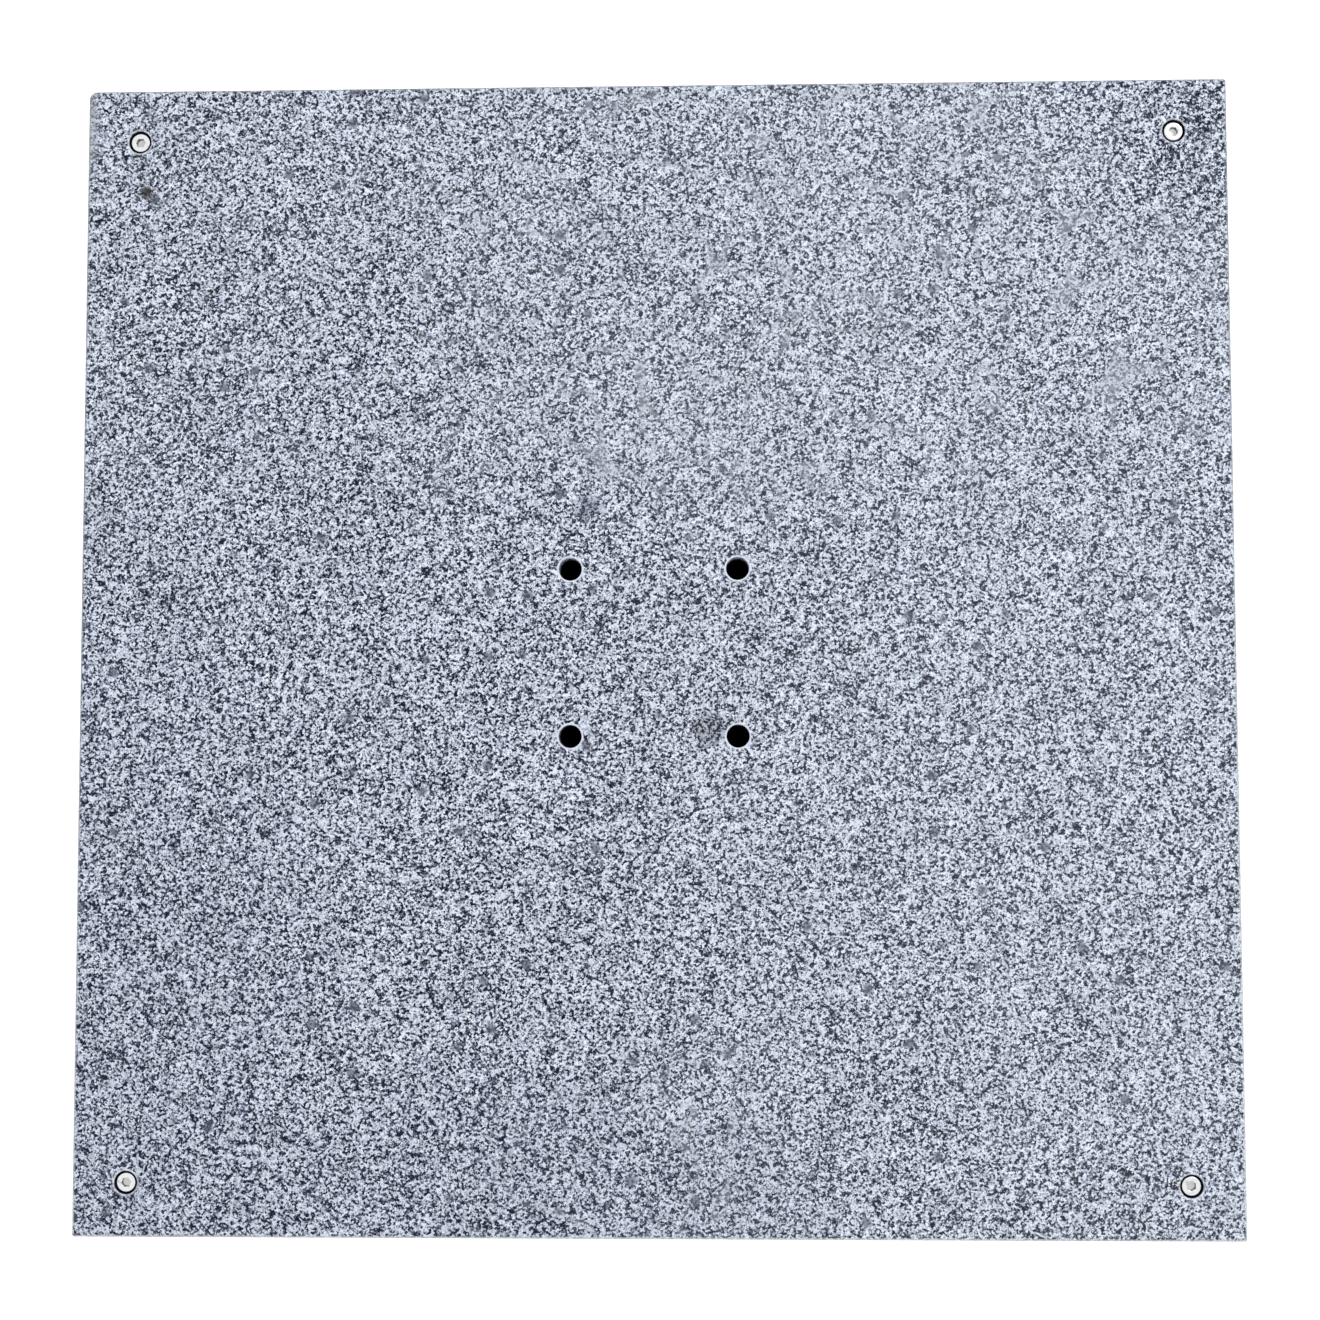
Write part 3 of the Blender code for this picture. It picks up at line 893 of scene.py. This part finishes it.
def helical_thread(bm, screws, radius, low, high, steps=36):
    """A closed threaded rod between two heights."""
    pitch, depth = screws.pitch, screws.thread_depth
    start = low - pitch
    turns = math.ceil((high - low) / pitch) + 2
    profile = (
        (radius - depth, 0.0),
        (radius - depth, pitch * 0.12),
        (radius, pitch * 0.5),
        (radius, pitch * 0.62),
        (radius - depth, pitch),
    )
    chain = [bm.verts.new((far, 0.0, start + rise)) for far, rise in profile]
    edges = [bm.edges.new(pair) for pair in zip(chain, chain[1:])]
    bmesh.ops.spin(
        bm,
        geom=chain + edges,
        cent=(0.0, 0.0, 0.0),
        axis=(0.0, 0.0, 1.0),
        dvec=(0.0, 0.0, pitch / steps),
        angle=math.tau * turns,
        steps=steps * turns,
        use_merge=False,
        use_normal_flip=False,
        use_duplicate=False,
    )
    bmesh.ops.remove_doubles(bm, verts=bm.verts, dist=0.00001)
    for level, up in ((low, -1.0), (high, 1.0)):
        bmesh.ops.bisect_plane(
            bm,
            geom=bm.verts[:] + bm.edges[:] + bm.faces[:],
            dist=0.0000005,
            plane_co=(0.0, 0.0, level),
            plane_no=(0.0, 0.0, up),
            clear_outer=True,
        )
    bmesh.ops.holes_fill(bm, edges=[e for e in bm.edges if e.is_boundary], sides=0)


def levelling_screw(screws):
    """One screw at the origin: head, thread, journal and the groove for its clip."""
    low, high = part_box("levelling_screw_front_left")
    bm = bmesh.new()
    socket_and_head(bm, screws, (high.x - low.x) / 2, high.z)
    sunk = 0.0002
    rod = bmesh.new()
    helical_thread(rod, screws, THREAD_RADIUS, SHOULDER, high.z - HEAD_HEIGHT + sunk)
    mesh = bpy.data.meshes.new("thread")
    rod.to_mesh(mesh)
    rod.free()
    bm.from_mesh(mesh)
    bpy.data.meshes.remove(mesh)
    journal = [
        (0.0, SHOULDER + sunk),
        (JOURNAL_RADIUS, SHOULDER + sunk),
        (JOURNAL_RADIUS, GROOVE_HIGH),
        (GROOVE_RADIUS, GROOVE_HIGH),
        (GROOVE_RADIUS, GROOVE_LOW),
        (JOURNAL_RADIUS, GROOVE_LOW),
        (JOURNAL_RADIUS, low.z + 0.0004),
        (JOURNAL_RADIUS - 0.0004, low.z),
        (0.0, low.z),
    ]
    turned(bm, journal, steps=48)
    bmesh.ops.remove_doubles(bm, verts=bm.verts, dist=0.000002)
    bmesh.ops.holes_fill(bm, edges=[e for e in bm.edges if e.is_boundary], sides=0)
    return bm


def thrust_washer():
    """One washer at the origin."""
    low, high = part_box("thrust_washer_front_left")
    far = (high.x - low.x) / 2
    bm = bmesh.new()
    section = [(WASHER_BORE, low.z), (far, low.z), (far, high.z), (WASHER_BORE, high.z)]
    turned_ring(bm, softened(section, 0.00018), steps=64)
    return bm


def retaining_clip():
    """One open spring clip at the origin, its mouth to the front."""
    low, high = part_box("retaining_clip_front_left")
    outer = (high.x - low.x) / 2
    inner, mouth = 0.0026, 0.00403
    bm = bmesh.new()
    section = [(inner, low.z), (outer, low.z), (outer, high.z), (inner, high.z)]
    section = softened(section, 0.00012, 2)
    half_angle = math.asin(mouth / 2 / ((inner + outer) / 2))
    start = -math.pi / 2 + half_angle
    chain = []
    for far, level in section:
        chain.append(bm.verts.new((far * math.cos(start), far * math.sin(start), level)))
    edges = [bm.edges.new((chain[i - 1], chain[i])) for i in range(len(chain))]
    bmesh.ops.spin(
        bm,
        geom=chain + edges,
        cent=(0.0, 0.0, 0.0),
        axis=(0.0, 0.0, 1.0),
        dvec=(0.0, 0.0, 0.0),
        angle=math.tau - 2 * half_angle,
        steps=56,
        use_merge=False,
        use_normal_flip=False,
        use_duplicate=False,
    )
    bmesh.ops.holes_fill(bm, edges=[e for e in bm.edges if e.is_boundary], sides=0)
    return bm


# ---------------------------------------------------------------- bushes and feet


def threaded_bush():
    """One flanged bush at the origin."""
    low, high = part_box("threaded_bush_front_left")
    far = (high.x - low.x) / 2
    flange, barrel, bore, chamfer = low.z + 0.003, 0.0077, 0.0043, 0.0005
    section = [
        (bore + chamfer, low.z),
        (far, low.z),
        (far, flange),
        (barrel + 0.0002, flange),
        (barrel, flange + 0.0003),
        (barrel, high.z),
        (bore + chamfer, high.z),
        (bore, high.z - chamfer),
        (bore, low.z + chamfer),
    ]
    bm = bmesh.new()
    turned_ring(bm, softened(section, 0.0003, 2), steps=80)
    return bm


def foot_disc():
    """One moulded disc at the origin, with its seat for the washer and its recess for the clip."""
    low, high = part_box("foot_disc_front_left")
    far = (high.x - low.x) / 2
    rim_height, crown = 0.004, 0.0115
    clip_recess, clip_roof = 0.0065, 0.0063
    washer_recess, washer_seat = 0.0085, 0.0101
    section = [
        (clip_recess, low.z),
        (far, low.z),
        (far, low.z + rim_height),
        (crown, high.z),
        (washer_recess, high.z),
        (washer_recess, washer_seat),
        (WASHER_BORE, washer_seat),
        (WASHER_BORE, clip_roof),
        (clip_recess, clip_roof),
    ]
    bm = bmesh.new()
    turned_ring(bm, softened(section, 0.0007, 3), steps=96)
    return bm


def rubber_sole(foot):
    """One cupped sole at the origin, with round grooves in its underside."""
    low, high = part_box("rubber_sole_front_left")
    far = (high.x - low.x) / 2
    inner, floor = far - 0.0015, 0.003
    section = [(0.0, low.z)]
    first, spacing, width = 0.0045, 0.0042, 0.0016
    for groove in range(foot.tread_grooves):
        at = first + groove * spacing
        section.append((at - width / 2, low.z))
        section.append((at - width / 4, low.z + foot.tread_depth))
        section.append((at + width / 4, low.z + foot.tread_depth))
        section.append((at + width / 2, low.z))
    outline = [(inner, floor), (inner - 0.004, floor), (inner - 0.004, low.z)]
    outline += [(far, low.z), (far, high.z), (inner, high.z)]
    outline = softened(outline, 0.0005, 3)
    outer_half = outline[len(outline) // 2 :]
    bm = bmesh.new()
    turned(bm, section + outer_half + [(inner, floor), (0.0, floor)])
    bmesh.ops.remove_doubles(bm, verts=bm.verts, dist=0.000002)
    return bm


# ---------------------------------------------------------------- stage


def disc(name, radius, height, material):
    """A flat round stage piece that goes down with the feet."""
    bm = bmesh.new()
    bmesh.ops.create_circle(bm, cap_ends=True, radius=radius, segments=96)
    bmesh.ops.translate(bm, vec=(0.0, 0.0, height), verts=bm.verts)
    mesh = bpy.data.meshes.new(name)
    bm.to_mesh(mesh)
    bm.free()
    mesh.materials.append(material)
    made = bpy.data.objects.new(name, mesh)
    bpy.context.scene.collection.objects.link(made)
    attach(made, "foot_front_left")


def stage_floor(stage):
    """A large plain round floor, and a near-black disc under the slab as painted shade seen through
    the mast holes.
    """
    f = Finish("plain floor")
    x, y, _ = f.parts(f.place)
    out = f.sum("MAXIMUM", f.sum("ABSOLUTE", x), f.sum("ABSOLUTE", y))
    tone = f.band(f.noise(3.0, detail=2), 0.3, 0.7, 0.0, 0.02)
    colour = f.mix(tone, opaque(stage.floor), (0.86, 0.86, 0.86, 1.0))
    glow = f.band(out, SLAB_HIGH.x - 0.02, SLAB_HIGH.x + 0.002, 0.0, 0.5)
    f.set(Base_Color=colour, Roughness=0.9, Specular_IOR_Level=0.0)
    f.set(Emission_Color=(1.0, 1.0, 1.0, 1.0), Emission_Strength=glow)
    # painted shade: a near-black disc just above the floor under the slab, so the mast holes look
    # black
    dark = Finish("shaded ground")
    dark.set(Base_Color=(0.003, 0.003, 0.003, 1.0), Roughness=1.0, Specular_IOR_Level=0.0)
    ground, shade_disc_radius, lift = CAD_BOX[0][2], 0.13, 0.0004
    disc("floor", stage.floor_radius, ground, f.material)
    disc("shaded_ground", shade_disc_radius, ground + lift, dark.material)


def stage_lights(stage):
    """Even light from all round, and one large soft lamp."""
    world = bpy.data.worlds.new("studio")
    world.use_nodes = True
    background = world.node_tree.nodes["Background"]
    background.inputs["Color"].default_value = (1.0, 1.0, 1.0, 1.0)
    background.inputs["Strength"].default_value = stage.sky
    bpy.context.scene.world = world
    lamp = bpy.data.lights.new("soft lamp", "AREA")
    lamp.shape = "DISK"
    lamp.size = 1.2
    lamp.energy = stage.lamp
    holder = bpy.data.objects.new("soft lamp", lamp)
    holder.location = (1.25, 1.1, 1.6)
    aim = Vector((0.15, 0.1, 0.06)) - holder.location
    holder.rotation_euler = aim.to_track_quat("-Z", "Y").to_euler()
    bpy.context.scene.collection.objects.link(holder)


def stage_camera(stage):
    """The camera, looking down on the slab."""
    camera = bpy.data.cameras.new("camera")
    camera.lens = stage.focal_length
    camera.sensor_width = 36.0
    camera.clip_start = 0.02
    camera.clip_end = 50.0
    holder = bpy.data.objects.new("camera", camera)
    holder.location = stage.camera_place
    holder.rotation_euler = Euler(stage.camera_turn)
    bpy.context.scene.collection.objects.link(holder)
    bpy.context.scene.camera = holder
    bpy.context.scene.view_settings.view_transform = "Standard"


# ---------------------------------------------------------------- operators


class BASEPLATE_OT_stone(bpy.types.Operator):
    """Builds the granite slab"""

    bl_idname = "baseplate.stone"
    bl_label = "Granite Slab"

    def execute(self, context):
        piece = granite_slab(context.scene.baseplate_stone)
        settle(piece, "slab", "granite_slab")
        return {"FINISHED"}


class BASEPLATE_OT_screws(bpy.types.Operator):
    """Builds the levelling screws, their washers and their clips"""

    bl_idname = "baseplate.screws"
    bl_label = "Levelling Screws"

    def execute(self, context):
        screws = context.scene.baseplate_screws
        turns = {"front_left": 98.0, "front_right": 120.0, "rear_left": 92.0, "rear_right": 85.0}
        steel = steel_finish("turned stainless steel", screws.steel, screws.grime_and_shade, 0.5)
        made = copies_at_corners(levelling_screw(screws), "screw", steel, turns)
        at_corners(made, "screw", "levelling_screw")
        rolled = steel_finish("rolled stainless steel", screws.steel, screws.grime_and_shade, 0.25, 0.3)
        made = copies_at_corners(thrust_washer(), "washer", rolled)
        at_corners(made, "foot", "thrust_washer")
        blackened = (0.16, 0.16, 0.17)
        spring = steel_finish("blackened spring steel", blackened, screws.grime_and_shade, 0.2, 0.38)
        made = copies_at_corners(retaining_clip(), "clip", spring)
        at_corners(made, "screw", "retaining_clip")
        return {"FINISHED"}


class BASEPLATE_OT_feet(bpy.types.Operator):
    """Builds the brass bushes, the foot discs and the rubber soles"""

    bl_idname = "baseplate.feet"
    bl_label = "Bushes and Feet"

    def execute(self, context):
        foot = context.scene.baseplate_feet
        made = copies_at_corners(threaded_bush(), "bush", brass_finish(foot))
        at_corners(made, "slab", "threaded_bush")
        made = copies_at_corners(foot_disc(), "disc", nylon_finish(foot))
        at_corners(made, "foot", "foot_disc")
        made = copies_at_corners(rubber_sole(foot), "sole", rubber_finish(foot))
        at_corners(made, "foot", "rubber_sole")
        return {"FINISHED"}


class BASEPLATE_OT_stage(bpy.types.Operator):
    """Lays the floor, hangs the lamps and sets the camera"""

    bl_idname = "baseplate.stage"
    bl_label = "Stage"

    def execute(self, context):
        stage = context.scene.baseplate_stage
        stage_floor(stage)
        stage_lights(stage)
        stage_camera(stage)
        return {"FINISHED"}


class BASEPLATE_PT_panel(bpy.types.Panel):
    """Lists the plate's builders and their settings"""

    bl_idname = "BASEPLATE_PT_panel"
    bl_label = "Base Plate"
    bl_space_type = "VIEW_3D"
    bl_region_type = "UI"
    bl_category = "Base Plate"

    def draw(self, context):
        for operator, settings in STEPS:
            box = self.layout.box()
            box.operator(operator)
            group = getattr(context.scene, settings)
            for name in group.bl_rna.properties.keys():
                if name not in ("rna_type", "name"):
                    box.prop(group, name)


STEPS = (
    ("baseplate.stage", "baseplate_stage"),
    ("baseplate.stone", "baseplate_stone"),
    ("baseplate.screws", "baseplate_screws"),
    ("baseplate.feet", "baseplate_feet"),
)
GROUPS = {
    "baseplate_stage": StageSettings,
    "baseplate_stone": StoneSettings,
    "baseplate_screws": ScrewSettings,
    "baseplate_feet": FootSettings,
}
OPERATORS = (
    BASEPLATE_OT_stage,
    BASEPLATE_OT_stone,
    BASEPLATE_OT_screws,
    BASEPLATE_OT_feet,
    BASEPLATE_PT_panel,
)


def register():
    """Registers the settings, the operators and the panel."""
    for name, group in GROUPS.items():
        bpy.utils.register_class(group)
        setattr(bpy.types.Scene, name, PointerProperty(type=group))
    for operator in OPERATORS:
        bpy.utils.register_class(operator)


def unregister():
    """Takes them away again."""
    for operator in reversed(OPERATORS):
        bpy.utils.unregister_class(operator)
    for name, group in GROUPS.items():
        delattr(bpy.types.Scene, name)
        bpy.utils.unregister_class(group)


def main():
    """Builds the whole plate."""
    register()
    bpy.ops.baseplate.stage()
    bpy.ops.baseplate.stone()
    bpy.ops.baseplate.screws()
    bpy.ops.baseplate.feet()


if __name__ == "__main__":
    main()
